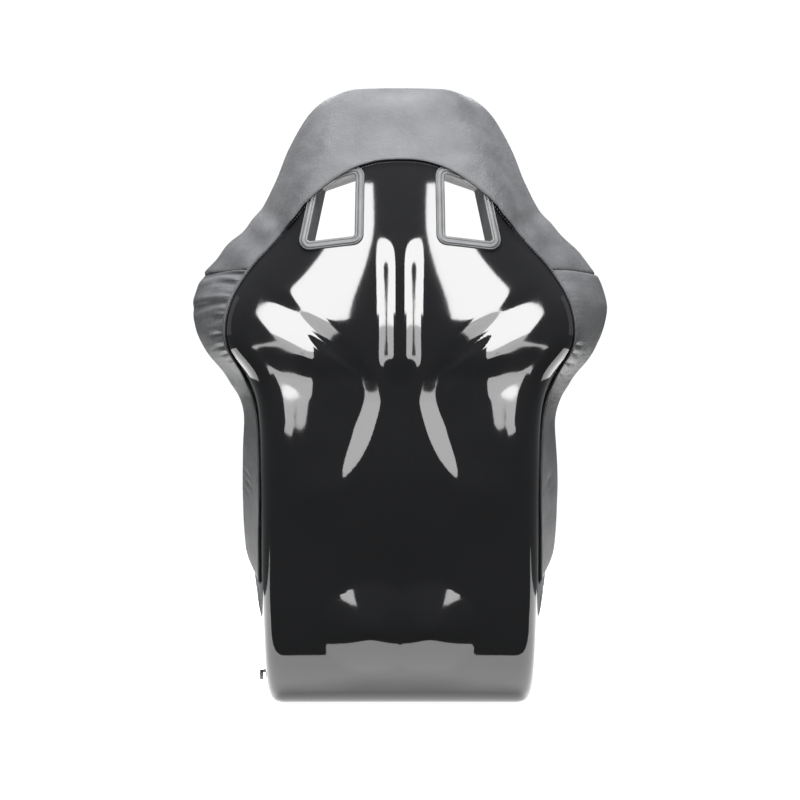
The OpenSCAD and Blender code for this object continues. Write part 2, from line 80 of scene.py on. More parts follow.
# The hem of the cover on the outside of the shell
HEM_START = 8
HEM_U = np.array([0.81, 0.79, 0.76, 0.79, 0.81, 0.70, 0.665, 0.68, 0.635, 0.535])
T_TORSO_LOW, T_SEAM, T_NECK, T_HEM_MIDDLE = 8.3, 15, 17, 18.5
HEM_ARCH = 2.8
U_NECK = HEM_U[-1]
U_LAP_IN = 0.7
U_THIGH_HEM = 0.85

RIM_FOAM, WALL_FOAM, HEAD_FOAM, BACK_FOAM, CUSHION_FOAM = 9, 28, 24, 30, 48
COVER = 1.6
LAP_PAST = 12

# The shoulder openings and their frames
OPENING_AT = (16.95, 0.36)
SLOT_OUTLINE = [(-35, -43), (-34, 53), (24, 34), (40, -51)]
SLOT_CORNER = 6
BEZEL_W, BEZEL_T, BEZEL_DEPTH, SLEEVE_T = 12, 3, 40, 2.4

# ---------------- curves on the shell


def unit(v):
    return v / np.maximum(np.linalg.norm(v, axis=-1, keepdims=True), 1e-9)


def smooth(f):
    f = np.clip(f, 0, 1)
    return f * f * (3 - 2 * f)


def along(rows, t):
    """Catmull-Rom value of the rows at each t."""
    t = np.asarray(t, float)
    last = len(rows) - 1
    i = np.clip(np.floor(t).astype(int), 0, last - 1)
    f = t - i
    if rows.ndim > 1:
        f = f[..., None]
    a, b = rows[np.maximum(i - 1, 0)], rows[i]
    c, d = rows[i + 1], rows[np.minimum(i + 2, last)]
    return b + f * (c - a) / 2 + f**2 * (2*a - 5*b + 4*c - d) / 2 + f**3 * (3*b - a - 3*c + d) / 2


def shell_point(t, u):
    """A point on the shell's plain outer surface. u is 0 on the middle plane and 1 at the rim."""
    t, u = np.broadcast_arrays(np.asarray(t, float), np.asarray(u, float))
    s = along(STATIONS, t)
    spine = np.stack([s[..., 0], np.maximum(s[..., 1], 0)], -1)
    reach = s[..., 2:4] - spine
    depth = np.linalg.norm(reach, axis=-1)
    face, rim, corner, fall = s[..., 4], s[..., 5], s[..., 6], s[..., 7]
    v = np.abs(u)
    start = np.stack([face - corner, fall], -1)
    turn = start + corner[..., None] * np.stack([np.ones_like(fall), 2 * fall / (face - corner)], -1)
    edge = np.stack([rim, depth], -1)
    end = turn + corner[..., None] * unit(edge - turn)
    f = v / U_CORNER
    on_face = np.stack([start[..., 0] * f, fall * f * f], -1)
    q = ((v - U_CORNER) / (U_WALL - U_CORNER))[..., None]
    on_corner = start * (1 - q)**2 + 2 * turn * q * (1 - q) + end * q * q
    on_wall = end + (edge - end) * ((v - U_WALL) / (1 - U_WALL))[..., None]
    p = np.where((v < U_CORNER)[..., None], on_face,
                 np.where((v < U_WALL)[..., None], on_corner, on_wall))
    yz = spine + unit(reach) * p[..., 1:2]
    return np.stack([np.sign(u) * p[..., 0], yz[..., 0], yz[..., 1]], -1)


STEP = 0.02


def outward(t, u):
    """The way the shell faces at a point."""
    t, u = np.broadcast_arrays(np.asarray(t, float), np.asarray(u, float))
    along_t = shell_point(np.minimum(t + STEP, TOP), u) - shell_point(np.maximum(t - STEP, 0), u)
    along_u = shell_point(t, np.minimum(u + STEP, 1)) - shell_point(t, np.maximum(u - STEP, -1))
    return unit(np.cross(along_t, along_u))


def rimward(t, side):
    """The way the shell's wall runs at the rim."""
    t = np.asarray(t, float)
    return unit(shell_point(t, side + 0 * t) - shell_point(t, side * (1 - STEP) + 0 * t))


def hem_u(t):
    return along(HEM_U, np.asarray(t, float) - HEM_START)


def hem_t(u):
    return T_HEM_MIDDLE - (T_HEM_MIDDLE - T_NECK) * (np.abs(u) / U_NECK)**HEM_ARCH


# ---------------- the shell's moulded relief


def bump(x, z, x0, z0, rx, rz):
    """A dome of height 1."""
    return smooth(1 - np.hypot((x - x0) / rx, (z - z0) / rz))


def ramp(d, width, soft=4.0):
    """0 before the band and width after it, with an even slope across the band."""
    return (np.sqrt((d + width / 2)**2 + soft**2) - np.sqrt((d - width / 2)**2 + soft**2) + width) / 2


def relief(p):
    """How far the moulded shapes stand off the plain surface."""
    x, z = np.abs(p[..., 0]), p[..., 2]
    # spine: a low ridge between the shoulders
    ridge = 5.2 * (1 - smooth((x - 3) / 31)) * smooth((690 - z) / 60) * smooth((z - 465) / 45)
    # under each shoulder the shell falls into a groove, and the pad's upper edge rises out of it
    arm = 0.81 * (435.5 + 0.735 * x - z)
    groove = -0.12 * ramp(arm + 27, 17)
    edge = 0.42 * ramp(arm + 4, 4.5, 1.2) * smooth((148 - x) / 30)
    rise = 0.05 * ramp(arm - 2, 34)
    crest = -0.07 * ramp(arm - 42, 44)
    shoulder = (groove + edge + rise + crest) * smooth((x - 40) / 40) * smooth((z - 280) / 200)
    # the middle of the back stands proud of the pads along the two lower arms
    middle = 30 + np.hypot(9, 0.42 * (450 - z))
    width = 27 * smooth((512 - z) / 40) * smooth((z - 306) / 70)
    step = -0.165 * ramp(x - middle, np.maximum(width, 0.01)) * (1 - smooth((x - middle - 30) / 100))
    belly = 9 * bump(x, z, 0, 330, 170, 200)
    pad = 8 * bump(x, z, 140, 380, 100, 150)
    knob = 18 * np.clip(1 - np.sqrt(((x - 42) / 74)**2 + ((z - 120) / 68)**2 + 0.02), 0, 1)
    return (ridge + shoulder + step + belly + pad + knob) * smooth((p[..., 1] - 100) / 60)


def moulded(t, u):
    """A point on the moulded outer surface."""
    p = shell_point(t, u)
    keep = 1 - smooth((np.abs(u) - 0.47) / 0.2)
    return p + outward(t, u) * (relief(p) * keep)[..., None]


# ---------------- making meshes


def mesh_object(name, points, faces, slot=None, smooth_faces=True):
    mesh = bpy.data.meshes.new(name)
    mesh.from_pydata((np.asarray(points, float).reshape(-1, 3) * MM).tolist(), [], faces)
    mesh.validate()
    obj = bpy.data.objects.new(name, mesh)
    bpy.context.scene.collection.objects.link(obj)
    if slot:
        mesh.materials.append(MATERIALS[slot])
    for poly in mesh.polygons:
        poly.use_smooth = smooth_faces
    return obj


def grid_faces(n, m, start=0, flip=False):
    """Quads of a grid of n rows and m columns."""
    faces = []
    for i in range(n - 1):
        for j in range(m - 1):
            a = start + i * m + j
            f = (a, a + 1, a + m + 1, a + m)
            faces.append(f[::-1] if flip else f)
    return faces


def ring_faces(rings, sides, start=0, closed=False):
    """Quads between neighbouring rings of points; closed joins the last ring to the first."""
    faces = []
    for i in range(rings if closed else rings - 1):
        a, b = start + i * sides, start + (i + 1) % rings * sides
        for j in range(sides):
            k = (j + 1) % sides
            faces.append((a + j, a + k, b + k, b + j))
    return faces


def border(n, m):
    """The points round the edge of a grid, in order."""
    return ([j for j in range(m)] + [i * m + m - 1 for i in range(1, n)]
            + [(n - 1) * m + j for j in range(m - 2, -1, -1)] + [i * m for i in range(n - 2, 0, -1)])


def closed_between(outer, inner, rim=None):
    """Points and faces of the solid between two grids; rim is an extra ring half-way."""
    n, m = outer.shape[:2]
    k = n * m
    faces = grid_faces(n, m) + grid_faces(n, m, k, True)
    ring = border(n, m)
    points = [outer.reshape(-1, 3), inner.reshape(-1, 3)]
    rings = [ring]
    if rim is not None:
        points.append(rim)
        rings.append([2 * k + i for i in range(len(ring))])
    rings.append([k + i for i in ring])
    for a, b in zip(rings, rings[1:]):
        for i in range(len(ring)):
            j = (i + 1) % len(ring)
            faces.append((a[j], a[i], b[i], b[j]))
    return np.concatenate(points), faces


def recalc(obj):
    bm = bmesh.new()
    bm.from_mesh(obj.data)
    bmesh.ops.recalc_face_normals(bm, faces=bm.faces)
    bm.to_mesh(obj.data)
    bm.free()


def solid(name, points, faces, slot=None, smooth_faces=True):
    """A closed mesh with all its faces turned outward."""
    obj = mesh_object(name, points, faces, slot, smooth_faces)
    recalc(obj)
    return obj


def bake_modifiers(obj):
    """Replaces the mesh with what its modifiers make of it."""
    graph = bpy.context.evaluated_depsgraph_get()
    made = bpy.data.meshes.new_from_object(obj.evaluated_get(graph))
    obj.modifiers.clear()
    old = obj.data
    obj.data = made
    bpy.data.meshes.remove(old)


def cut_away(obj, cutters):
    """Takes the cutters' shapes out of the piece, and removes the cutters."""
    for cutter in cutters:
        cut = obj.modifiers.new("cut", "BOOLEAN")
        cut.operation = "DIFFERENCE"
        cut.solver = "EXACT"
        cut.object = cutter
    bake_modifiers(obj)
    for cutter in cutters:
        bpy.data.objects.remove(cutter)


def place(obj, slot, *stands_for):
    """The piece rides on the one body and stands for its CAD nodes, which are hidden; slot is not used."""
    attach(obj, "root")
    if stands_for:
        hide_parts(*stands_for)
    return obj


def tube(name, points, radius, slot, sides=10, flat=1.0, ups=None):
    """Round or flattened cord through a list of points."""
    n = len(points)
    run = unit(np.gradient(points, axis=0))
    if ups is None:
        ups = np.tile([0.0, 1.0, 0.0], (n, 1))
    across = unit(np.cross(run, ups))
    up = np.cross(across, run)
    radius = np.broadcast_to(radius, (n,))
    rings = []
    for k in range(sides):
        a = 2 * math.pi * k / sides
        rings.append(points + radius[:, None] * (math.cos(a) * across + flat * math.sin(a) * up))
    faces = ring_faces(n, sides)
    faces.append(tuple(range(sides))[::-1])
    faces.append(tuple((n - 1) * sides + k for k in range(sides)))
    return solid(name, np.stack(rings, 1), faces, slot)


# ---------------- materials


class Nodes:
    """A short way to wire one material."""

    def __init__(self, name):
        self.mat = bpy.data.materials.new(name)
        self.mat.use_nodes = True
        self.tree = self.mat.node_tree
        self.bsdf = next(n for n in self.tree.nodes if n.type == "BSDF_PRINCIPLED")
        self.coords = self.tree.nodes.new("ShaderNodeTexCoord").outputs["Object"]

    def add(self, kind, **inputs):
        node = self.tree.nodes.new(kind)
        for key, value in inputs.items():
            self.put(node.inputs[key.replace("_", " ")], value)
        return node

    def put(self, socket, value):
        if hasattr(value, "is_output"):
            self.tree.links.new(value, socket)
        else:
            socket.default_value = value

    def set(self, **inputs):
        for key, value in inputs.items():
            self.put(self.bsdf.inputs[key.replace("_", " ")], value)

    def noise(self, scale, detail=3, roughness=0.5, stretch=None):
        node = self.add("ShaderNodeTexNoise", Scale=scale, Detail=detail, Roughness=roughness)
        self.tree.links.new(self.stretched(stretch), node.inputs["Vector"])
        return node.outputs["Fac"]

    def stretched(self, stretch):
        if stretch is None:
            return self.coords
        node = self.add("ShaderNodeMapping", Scale=stretch)
        self.tree.links.new(self.coords, node.inputs["Vector"])
        return node.outputs["Vector"]

    def ramp(self, value, low, high, a=0.0, b=1.0):
        node = self.add("ShaderNodeMapRange", Value=value)
        node.inputs["From Min"].default_value = a
        node.inputs["From Max"].default_value = b
        node.inputs["To Min"].default_value = low
        node.inputs["To Max"].default_value = high
        return node.outputs["Result"]

    def colours(self, value, low, high):
        node = self.tree.nodes.new("ShaderNodeMix")
        node.data_type = "RGBA"
        self.put(node.inputs[0], value)
        node.inputs[6].default_value = (*low, 1)
        node.inputs[7].default_value = (*high, 1)
        return node.outputs[2]

    def math(self, operation, a, b=0.0):
        node = self.tree.nodes.new("ShaderNodeMath")
        node.operation = operation
        self.put(node.inputs[0], a)
        self.put(node.inputs[1], b)
        return node.outputs[0]

    def bump(self, height, distance, strength=1.0, under=None):
        node = self.add("ShaderNodeBump", Height=height, Distance=distance, Strength=strength)
        if under is not None:
            self.tree.links.new(under, node.inputs["Normal"])
        return node.outputs["Normal"]


def shell_gloss():
    m = Nodes("shell_gloss")
    haze = m.noise(9, 4)
    specks = m.noise(900, 2)
    peel = m.bump(m.noise(160, 2), 0.00002, 0.5)
    flake = m.ramp(specks, 0, 1, 0.62, 0.72)
    m.set(Base_Color=m.colours(flake, (0.0045, 0.0045, 0.005), (0.012, 0.012, 0.013)),
          Roughness=m.ramp(haze, 0.035, 0.085), Normal=peel)
    m.set(IOR=1.5)
    return m.mat


def leather(name, dark, light, shine):
    """Grained synthetic leather with a soft sheen and lighter, smoother worn places."""
    m = Nodes(name)
    grain = m.add("ShaderNodeTexVoronoi", Scale=480)
    m.tree.links.new(m.stretched((1, 1, 1.15)), grain.inputs["Vector"])
    fine = m.noise(2200, 2)
    cloudy = m.noise(14, 5, 0.6)
    height = m.math("ADD", grain.outputs["Distance"], m.math("MULTIPLY", fine, 0.5))
    m.set(Base_Color=m.colours(m.ramp(cloudy, 0, 1, 0.3, 0.7), dark, light),
          Roughness=m.ramp(m.noise(30, 4), shine - 0.05, shine + 0.07),
          Normal=m.bump(height, 0.00045, 0.7, m.bump(m.noise(48, 4, 0.6), 0.0035, 0.55)))
    m.set(Sheen_Weight=0.04, Sheen_Roughness=0.4, Specular_IOR_Level=0.32)
    return m.mat


def woven(name, dark, light, pitch, depth):
    """Coarse woven cloth: threads cross over and under each other."""
    m = Nodes(name)
    split = m.add("ShaderNodeSeparateXYZ")
    m.tree.links.new(m.coords, split.inputs["Vector"])
    run = m.math("SUBTRACT", split.outputs["Z"], split.outputs["Y"])
    k = 2 * math.pi / pitch
    warp = m.math("SINE", m.math("MULTIPLY", split.outputs["X"], k))
    weft = m.math("SINE", m.math("MULTIPLY", run, k))
    cross = m.math("MULTIPLY", warp, weft)
    fuzz = m.noise(1500, 3)
    patch = m.noise(18, 4)
    height = m.math("ADD", cross, m.math("MULTIPLY", fuzz, 0.9))
    shade = m.math("ADD", m.ramp(cross, 0.0, 0.6, -1, 1), m.math("MULTIPLY", patch, 0.4))
    m.set(Base_Color=m.colours(shade, dark, light), Roughness=m.ramp(fuzz, 0.78, 0.95),
          Normal=m.bump(height, depth, 0.8))
    m.set(Sheen_Weight=0.4, Sheen_Roughness=0.5)
    return m.mat


def plastic(name, dark, light, rough):
    """Moulded plastic with a fine spark-eroded texture and rubbed places."""
    m = Nodes(name)
    cloud = m.noise(40, 4)
    m.set(Base_Color=m.colours(m.ramp(cloud, 0, 1, 0.3, 0.7), dark, light),
          Roughness=m.ramp(m.noise(90, 3), rough - 0.06, rough + 0.08),
          Normal=m.bump(m.noise(1600, 2), 0.00008, 0.4))
    return m.mat


def metal(name, dark, light, rough, metallic=1.0):
    """Machined or plated steel with drawn scratches."""
    m = Nodes(name)
    lines = m.noise(500, 3, 0.6, (1, 1, 14))
    m.set(Base_Color=m.colours(lines, dark, light), Roughness=m.ramp(lines, rough - 0.08, rough + 0.1),
          Normal=m.bump(lines, 0.00005, 0.4))
    m.set(Metallic=metallic)
    return m.mat


def foam():
    """Open-cell moulded foam."""
    m = Nodes("foam_yellow")
    cells = m.add("ShaderNodeTexVoronoi", Scale=700)
    m.tree.links.new(m.coords, cells.inputs["Vector"])
    aged = m.noise(16, 5)
    m.set(Base_Color=m.colours(aged, (0.50, 0.27, 0.06), (0.70, 0.47, 0.17)),
          Roughness=m.ramp(aged, 0.85, 0.98),
          Normal=m.bump(cells.outputs["Distance"], 0.0006, 0.9))
    return m.mat


MATERIALS = {
    "shell_gloss": shell_gloss(),
    "cover_leather": leather("cover_leather", (0.036, 0.037, 0.039), (0.060, 0.061, 0.064), 0.44),
    "hem_elastic": leather("hem_elastic", (0.024, 0.024, 0.026), (0.045, 0.045, 0.048), 0.5),
    "centre_fabric": woven("centre_fabric", (0.030, 0.036, 0.044), (0.10, 0.115, 0.135), 0.0016, 0.0005),
    "hook_and_loop": woven("hook_and_loop", (0.006, 0.006, 0.006), (0.03, 0.03, 0.03), 0.0011, 0.0007),
    "foam_yellow": foam(),
    # the rear frames are black plastic: their lighter grey base colour is painted light, standing in for the
    # soft boxes' light on them
    "bezel_grey": plastic("bezel_grey", (0.045, 0.046, 0.048), (0.065, 0.066, 0.068), 0.42),
    "bezel_black": plastic("bezel_black", (0.010, 0.010, 0.011), (0.022, 0.022, 0.023), 0.5),
    "steel": metal("steel", (0.42, 0.42, 0.43), (0.62, 0.62, 0.63), 0.32),
    "bolt_black": metal("bolt_black", (0.02, 0.02, 0.021), (0.07, 0.07, 0.072), 0.38, 0.6),
}

# ---------------- the shell


def columns(flat_n, corner_n, wall_n):
    half = np.concatenate([np.linspace(0, U_CORNER, flat_n, endpoint=False),
                           np.linspace(U_CORNER, U_WALL, corner_n, endpoint=False),
                           np.linspace(U_WALL, 1, wall_n + 1)])
    return np.concatenate([-half[:0:-1], half])


def surface_normals(grid):
    along_t = np.gradient(grid, axis=0)
    along_u = np.gradient(grid, axis=1)
    return unit(np.cross(along_t, along_u))


def opening_frame():
    """Middle of the left shoulder opening, and its across, up and outward directions."""
    middle = shell_point(*OPENING_AT)
    out = outward(*OPENING_AT)
    across = unit(np.array([out[1], -out[0], 0.0]))
    return middle, across, np.cross(across, out), out


def slot_ring(grow, per_side=10, per_corner=8):
    """Outline of the shoulder opening, moved outward by grow, as across and up."""
    pts = np.array(SLOT_OUTLINE, float)
    n = len(pts)
    edge = unit(np.roll(pts, -1, 0) - pts)
    out = np.stack([-edge[:, 1], edge[:, 0]], 1)
    centres = []
    for i in range(n):
        a, b = out[i - 1], out[i]
        centres.append(pts[i] - SLOT_CORNER * (a + b) / (1 + a @ b))
    ring = []
    for i in range(n):
        a, b = out[i - 1], out[i]
        for f in np.linspace(0, 1, per_corner):
            d = unit(a * (1 - f) + b * f)
            ring.append(centres[i] + (SLOT_CORNER + grow) * d)
        nxt = centres[(i + 1) % n] + (SLOT_CORNER + grow) * b
        start = ring[-1]
        for f in np.linspace(0, 1, per_side)[1:-1]:
            ring.append(start * (1 - f) + nxt * f)
    return np.array(ring)


def make_cutter(rings):
    """Prism between two rings of points."""
    n = len(rings[0])
    faces = [(i, (i + 1) % n, n + (i + 1) % n, n + i) for i in range(n)]
    faces += [tuple(range(n))[::-1], tuple(range(n, 2 * n))]
    return solid("cutter", np.concatenate(rings), faces, smooth_faces=False)


def slot_points(grow, height, side):
    middle, across, up, out = opening_frame()
    ring = slot_ring(grow)
    points = middle + ring[:, :1] * across + ring[:, 1:] * up + height * out
    return points * [side, 1, 1]


def crotch_points(grow, z, y0=-55, length=70, width=24):
    ring = []
    r = width / 2 + grow
    for side in (1, -1):
        for a in np.linspace(-90, 90, 13):
            a = math.radians(a)
            ring.append((side * ((length - width) / 2 + r * math.cos(a)), y0 + side * r * math.sin(a), z))
    return np.array(ring)


def barrel_points(y, x, side, r=9.15, z=45):
    a = np.linspace(0, 2 * math.pi, 32, endpoint=False)
    return np.stack([np.full(32, side * x), y + r * np.cos(a), z + r * np.sin(a)], 1)


def build_shell():
    ts = np.linspace(0, 21.2, 280)
    us = columns(56, 14, 16)
    t, u = np.meshgrid(ts, us, indexing="ij")
    outer = moulded(t, u)
    normal = surface_normals(outer)
    inner = outer - normal * SHELL_T
    ring = border(*t.shape)
    centre = outer.reshape(-1, 3)[ring] - 0.5 * SHELL_T * normal.reshape(-1, 3)[ring]
    tt, uu = t.reshape(-1)[ring], u.reshape(-1)[ring]
    push = np.where((np.abs(uu) > 0.999)[:, None], rimward(tt, np.sign(uu)), 0)
    forward = unit(shell_point(0 * tt, uu) - shell_point(0 * tt + 0.1, uu))
    push = push + np.where((tt < 1e-6)[:, None], forward, 0)
    points, faces = closed_between(outer, inner, centre + 1.7 * push)
    obj = solid("shell", points, faces, "shell_gloss")
    cutters = []
    for side in (1, -1):
        cutters.append(make_cutter([slot_points(0, -30, side), slot_points(0, 30, side)]))
        for y in (-180, 110):
            cutters.append(make_cutter([barrel_points(y, 160, side), barrel_points(y, 230, side)]))
    cutters.append(make_cutter([crotch_points(0, -20), crotch_points(0, 20)]))
    cut_away(obj, cutters)
    place(obj, "shell_gloss", "frp_shell")


build_shell()

# ---------------- the pulled-over cover

HEM_H = GAP + 0.6 + COVER
T_HEAD_TOP = 21.4


def off_shell(t, u, h, b=0.0):
    """A point at height h off the plain surface and b past the rim."""
    p = shell_point(t, u) + np.asarray(h)[..., None] * outward(t, u)
    if np.any(b):
        p = p + np.asarray(b)[..., None] * rimward(t, np.sign(u) + (u == 0))
    return p


def opening_lift(t, u):
    """How far the cover is lifted where it lies over the corner of a shoulder frame."""
    away = np.linalg.norm(shell_point(t, np.abs(u)) - shell_point(*OPENING_AT), axis=-1)
    return (BEZEL_T + GAP) * smooth((82 - away) / 22)


def wave(x, seed):
    """Smooth irregular wave between about -1 and 1."""
    return (np.sin(x + seed) + 0.6 * np.sin(2.3 * x + 1.7 * seed) + 0.4 * np.sin(4.1 * x + 2.9 * seed)) / 1.6


# Folds across each wing: station at the hem, drift towards the rim, width, depth, reach
FOLDS = {
    1: [(14.86, 0.10, 0.07, 3.2, 1.25), (14.52, 0.30, 0.07, 2.0, 0.9), (14.05, -0.02, 0.07, 3.4, 1.2),
        (13.62, 0.02, 0.06, 2.0, 0.55), (13.22, 0.05, 0.07, 2.6, 0.7), (12.93, 0.06, 0.05, 2.0, 0.5),
        (12.74, 0.05, 0.045, 1.8, 0.45), (12.56, 0.04, 0.04, 1.6, 0.4), (15.5, 0.2, 0.08, 1.0, 0.5)],
    -1: [(14.6, 0.1, 0.12, 1.0, 0.6), (13.3, 0.02, 0.06, 1.2, 0.4), (12.95, 0.05, 0.05, 1.8, 0.5),
         (12.75, 0.04, 0.045, 1.6, 0.45), (12.5, 0.03, 0.05, 1.8, 0.55), (12.2, 0.0, 0.05, 1.2, 0.4)],
}
# Dents in the torso strips: station, place across, width along, width across, depth
DENTS = {
    1: [(10.05, 0.62, 0.05, 0.22, 1.6), (9.93, 0.60, 0.05, 0.22, 1.8), (9.78, 0.66, 0.06, 0.2, 1.2)],
    -1: [(10.0, 0.42, 0.10, 0.16, 2.4), (9.86, 0.55, 0.07, 0.14, 1.4), (10.9, 0.5, 0.3, 0.2, 0.8)],
}


def folds(t, s, side):
    """Gathers that run from the hem (s 0) towards the rim (s 1)."""
    h = np.zeros(t.shape)
    for at, drift, width, depth, reach in FOLDS[side]:
        d = (t - at - drift * s) / (width * (1 + 0.8 * s))
        h -= depth * (np.exp(-d * d) - 0.45 * np.exp(-(d - 1.8)**2) - 0.35 * np.exp(-(d + 1.9)**2)) \
            * smooth((reach - s) / 0.5) * smooth(0.35 + s * 4)
    gather = smooth((t - 12.1) / 0.6) * (0.35 if side < 0 else 1.0)
    h += 0.75 * gather * wave(t * 92, 1.0 + side) * np.exp(-s * 9)
    h += 0.5 * gather * wave(t * 41, 2.0 + side) * np.exp(-s * 3.2)
    return h


def dents(t, s, side):
    h = np.zeros(t.shape)
    for at, across, wt, ws, depth in DENTS[side]:
        h -= depth * np.exp(-((t - at - 0.12 * (s - across)) / wt)**2 - ((s - across) / ws)**2)
    return h


def end_round(t, start, length):
    """0 at a padded end and 1 further in, along a quarter circle."""
    f = np.clip((t - start) / length, 0, 1)
    return np.sqrt(1 - (1 - f)**2)


def rim_arc(h_out, h_in, past, a):
    mid, half = (h_out - h_in) / 2, (h_out + h_in) / 2
    return mid + half * np.cos(a), past * np.sin(a)


def arc_down(f, low=0.0):
    """1 up to f 0, then down a quarter circle, to its low value at f 1."""
    return np.sqrt(np.clip(1 - np.clip(f, 0, 1)**2, low, 1))


def sleeve_bed(ts, side, u_out, u_in, n_rim):
    """What a sleeve lies on: the shell's outside, its rim and its inside."""
    u = np.concatenate([u_out, side * np.ones((len(ts), n_rim)), u_in], 1)
    a = np.concatenate([np.zeros(u_out.shape[1]), np.linspace(0, math.pi, n_rim),
                        np.full(u_in.shape[1], math.pi)])
    h, b = rim_arc(GAP, SHELL_T + GAP, GAP, a)
    return off_shell(ts[:, None], u, h[None, :] + 0 * u, b[None, :] + 0 * u)


def build_wing(side, name):
    """Torso strip and shoulder wing: a padded sleeve over the shell's side wall."""
    low = T_TORSO_LOW
    ts = np.concatenate([low + 0.22 * (1 - np.cos(np.linspace(0, math.pi / 2, 12))),
                         np.linspace(low + 0.24, T_SEAM - 0.07, 330),
                         T_SEAM - 0.06 * np.cos(np.linspace(0.3, math.pi / 2, 6))])
    n_out, n_rim, n_in = 34, 14, 22
    end = np.minimum(end_round(ts, low, 0.22), 1)[:, None]
    seam = (0.86 + 0.14 * np.sqrt(np.clip((T_SEAM - ts) / 0.07, 0, 1)))[:, None]
    e = end * seam
    t = np.repeat(ts[:, None], n_out, 1)
    s = np.linspace(0, 1, n_out + 1)[None, :-1]
    hem = hem_u(ts)[:, None]
    u_out = side * (hem + (1 - hem) * s)
    rise = np.sin(np.minimum(s * 1.15, 1) * math.pi / 2)**0.85
    swell = RIM_FOAM + GAP + 0.9 * wave(ts * 2.1, 3 + side)[:, None] * smooth((ts - 8.9) / 1)[:, None]
    h = HEM_H + swell * rise + (folds(t, s + 0 * t, side) + dents(t, s + 0 * t, side)) * seam
    h = np.maximum(h, GAP + 1.0)
    h_out = GAP + (h - GAP) * e
    outside = off_shell(t, u_out, h_out)
    a = np.linspace(0, math.pi, n_rim)[None, :]
    ripple = folds(t[:, :n_rim], 1.0 + a / math.pi * 0.4 + 0 * t[:, :n_rim], side)
    at_rim = np.ones((len(ts), 1))
    top = HEM_H + swell + folds(t[:, :1], at_rim, side) + dents(t[:, :1], at_rim, side)
    top = GAP + (top - GAP) * e
    inside = SHELL_T + GAP + (WALL_FOAM + GAP + COVER) * e
    past = GAP + (LAP_PAST + COVER) * e
    hh, bb = rim_arc(top, inside, past, a)
    rim = off_shell(ts[:, None], side * np.ones((len(ts), n_rim)), hh, bb + ripple * 0.5 * e * np.sin(a))
    f = np.linspace(0, 1, n_in + 1)[None, 1:]
    u_in = side * (1 + (U_LAP_IN - 1) * f) + 0 * ts[:, None]
    roll = arc_down((f - 0.86) / 0.14)
    belly = 3.0 * np.sin(f * math.pi)
    inner_face = off_shell(ts[:, None], u_in,
                           -(SHELL_T + GAP + (WALL_FOAM + GAP + COVER + belly) * e * roll))
    outer = np.concatenate([outside, rim, inner_face], 1)
    points, faces = closed_between(outer, sleeve_bed(ts, side, u_out, u_in, n_rim))
    return solid(name, points, faces, "cover_leather")


for side, word in SIDES:
    wing = build_wing(side, f"wing_cover_{word}_padded")
    place(wing, "cover_leather", f"wing_cover_{word}", f"shoulder_wing_foam_{word}",
          f"torso_bolster_foam_{word}")


def head_low(u):
    """Lowest station of the head's rear panel at a place across: along the hem, then the cross seam."""
    v = np.abs(u)
    probe = np.linspace(T_SEAM, T_NECK, 60)
    edge = hem_u(probe)
    side_low = np.interp(v, edge[::-1], probe[::-1])
    return np.where(v < U_NECK, hem_t(np.minimum(v, U_NECK)), np.where(v > edge[0], T_SEAM, side_low))


def head_fade(t):
    return 1 - 0.45 * smooth((t - 20.0) / 1.6)


def head_rear_height(t, u, s):
    to_side = smooth((np.abs(u) - 0.62) / 0.38)
    to_top = smooth((t - 19.4) / 2.0)
    edge = 1 - (1 - to_side) * (1 - to_top)
    full = (RIM_FOAM + GAP) * head_fade(t)
    crown = 2.2 * np.sin(np.clip(s, 0, 1) * math.pi) * (1 - edge)
    # fold lines that fan out from the neck, and a slack pull beside the cross seams
    left = (u > 0)
    near = smooth((17.6 - t) / 1.2) * smooth((np.abs(u) - 0.55) / 0.2)
    fan = np.sin((t - 15) * 6.5 - (np.abs(u) - 0.7) * 16 + np.where(left, 0.4, 1.5))
    pull = near * fan * np.where(left, 1.9, 1.2)
    gather = 0.35 * wave(t * 80, 5.0) * np.exp(-s * 14) * smooth((17.4 - t) / 1)
    seam = 1 - 0.35 * np.exp(-((t - T_SEAM) / 0.05)**2)
    return (HEM_H + opening_lift(t, u) + full * edge + crown + pull + gather) * seam


RIM_SEAM = 0.965


def in_opening(points, grow):
    """Which points lie within a shoulder opening's outline, seen along its axis."""
    middle, across, up, _ = opening_frame()
    rel = points * np.where(points[..., :1] < 0, [-1, 1, 1], [1, 1, 1]) - middle
    a, b = rel @ across, rel @ up
    ring = slot_ring(grow)
    run = np.roll(ring, -1, 0) - ring
    turn = np.stack([run[i, 0] * (b - ring[i, 1]) - run[i, 1] * (a - ring[i, 0]) for i in range(len(ring))])
    return np.all(turn <= 0, axis=0) | np.all(turn >= 0, axis=0)


